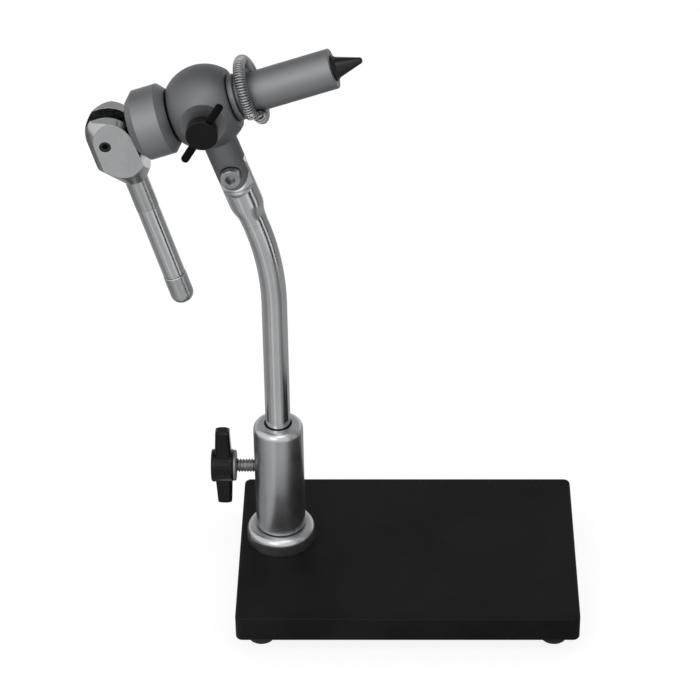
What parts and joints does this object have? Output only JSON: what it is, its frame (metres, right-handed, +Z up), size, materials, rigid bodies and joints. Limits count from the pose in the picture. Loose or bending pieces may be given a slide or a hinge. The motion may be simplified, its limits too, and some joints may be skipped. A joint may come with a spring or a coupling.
{
  "type": "fly tying vise",
  "caption": "Pedestal vise for tying fishing flies: a draw-type jaw in a turning barrel, closed by a cam lever, on a tilting head and a bent stem.",
  "frame": {"origin": "on the table, under the middle of the whole vise in plan", "axes": "+Z up, +X to the right along the base plate and towards the jaws, +Y to the back"},
  "size_m": [0.2097, 0.1016, 0.2704],
  "materials": {
    "powder_coat": "satin black powder coat on steel plate",
    "rubber": "matt moulded rubber",
    "bright_steel": "bright zinc-plated or plain steel",
    "satin_steel": "fine satin-finished stainless steel",
    "polished_steel": "polished stainless steel",
    "black_plastic": "glossy moulded black plastic",
    "acetal": "black acetal",
    "nylon": "natural nylon",
    "blasted_aluminium": "bead-blasted grey anodised aluminium",
    "black_oxide": "black oxide on hardened steel"
  },
  "bodies": {
    "base": {"base_plate": "powder_coat", "rubber_feet": "rubber", "foot_screws": "bright_steel", "post_flange": "polished_steel", "post": "polished_steel", "post_bolt": "bright_steel"},
    "clamp_pad": {"clamp_pad": "nylon"},
    "clamp_screw": {"clamp_stud": "bright_steel", "clamp_bushing": "bright_steel", "clamp_knob": "black_plastic"},
    "liner": {"stem_liner": "acetal"},
    "stem": {"stem_rod": "polished_steel", "stem_fork": "polished_steel", "tilt_screw": "bright_steel"},
    "head": {"head_body": "blasted_aluminium", "rear_bush": "acetal", "front_bush": "acetal"},
    "lock_pad": {"lock_pad": "nylon"},
    "lock_screw": {"lock_stud": "black_oxide", "lock_hub": "black_plastic", "lock_bar": "black_plastic"},
    "barrel": {"barrel": "blasted_aluminium", "front_collar": "blasted_aluminium", "retaining_ring": "black_oxide", "material_spring": "bright_steel"},
    "cam_washer": {"cam_washer": "bright_steel"},
    "drum": {"adjusting_drum": "blasted_aluminium"},
    "drawbar": {"drawbar": "black_oxide", "collet_hub": "black_oxide", "return_spring": "bright_steel"},
    "near_jaw": {"near_jaw": "black_oxide"},
    "far_jaw": {"far_jaw": "black_oxide"},
    "lever": {"cam_head": "satin_steel", "cam_pin": "black_oxide", "lever_rod": "polished_steel", "lever_tip": "satin_steel"}
  },
  "joints": [
    {"name": "stem_swivel", "type": "hinge", "parent": "base", "child": "liner", "pos_m": [-0.02911, 0.0078, 0.0189], "axis": [0, 0, 1], "continuous": true},
    {"name": "stem_slide", "type": "slide", "parent": "liner", "child": "stem", "axis": [0, 0, 1], "range_m": [-0.005, 0.03]},
    {"name": "head_tilt", "type": "hinge", "parent": "stem", "child": "head", "pos_m": [-0.04521, 0.0078, 0.21546], "axis": [0, 1, 0], "range_deg": [-20, 45]},
    {"name": "barrel_spin", "type": "hinge", "parent": "head", "child": "barrel", "pos_m": [-0.05504, 0.0078, 0.24465], "axis": [0.9478, 0, 0.319], "continuous": true},
    {"name": "drum_turn", "type": "hinge", "parent": "cam_washer", "child": "drum", "pos_m": [-0.07589, 0.0078, 0.23763], "axis": [0.9478, 0, 0.319], "range_deg": [0, 180]},
    {"name": "washer_slide", "type": "slide", "parent": "barrel", "child": "cam_washer", "axis": [0.9478, 0, 0.319], "range_m": [0, 0.0005]},
    {"name": "drawbar_slide", "type": "slide", "parent": "cam_washer", "child": "drawbar", "axis": [0.9478, 0, 0.319], "range_m": [0, 0.0012]},
    {"name": "lever_swing", "type": "hinge", "parent": "drawbar", "child": "lever", "pos_m": [-0.09613, 0.0078, 0.23082], "axis": [0, 1, 0], "range_deg": [0, 90]},
    {"name": "near_jaw_open", "type": "hinge", "parent": "drawbar", "child": "near_jaw", "pos_m": [-0.0303, 0.0078, 0.25297], "axis": [0.319, 0, -0.9478], "range_deg": [0, 0.86]},
    {"name": "far_jaw_open", "type": "hinge", "parent": "drawbar", "child": "far_jaw", "pos_m": [-0.0303, 0.0078, 0.25297], "axis": [-0.319, 0, 0.9478], "range_deg": [0, 0.86]},
    {"name": "clamp_turn", "type": "hinge", "parent": "clamp_pad", "child": "clamp_screw", "pos_m": [-0.04111, 0.0078, 0.0594], "axis": [-1, 0, 0], "range_deg": [0, 360]},
    {"name": "clamp_advance", "type": "slide", "parent": "base", "child": "clamp_pad", "axis": [-1, 0, 0], "range_m": [0, 0.00127]},
    {"name": "lock_turn", "type": "hinge", "parent": "lock_pad", "child": "lock_screw", "pos_m": [-0.05504, -0.0122, 0.24465], "axis": [0, -1, 0], "range_deg": [0, 360]},
    {"name": "lock_advance", "type": "slide", "parent": "head", "child": "lock_pad", "axis": [0, -1, 0], "range_m": [0, 0.0008]}
  ],
  "couplings": [
    {"joint": "clamp_turn", "follows": "clamp_advance", "rad_per_m": 4947.4},
    {"joint": "lock_turn", "follows": "lock_advance", "rad_per_m": 7854},
    {"joint": "drum_turn", "follows": "washer_slide", "rad_per_m": 6283.2},
    {"joint": "lever_swing", "follows": "drawbar_slide", "rad_per_m": 1309},
    {"joint": "near_jaw_open", "follows": "drawbar_slide", "rad_per_m": 12.362},
    {"joint": "far_jaw_open", "follows": "drawbar_slide", "rad_per_m": 12.362}
  ]
}
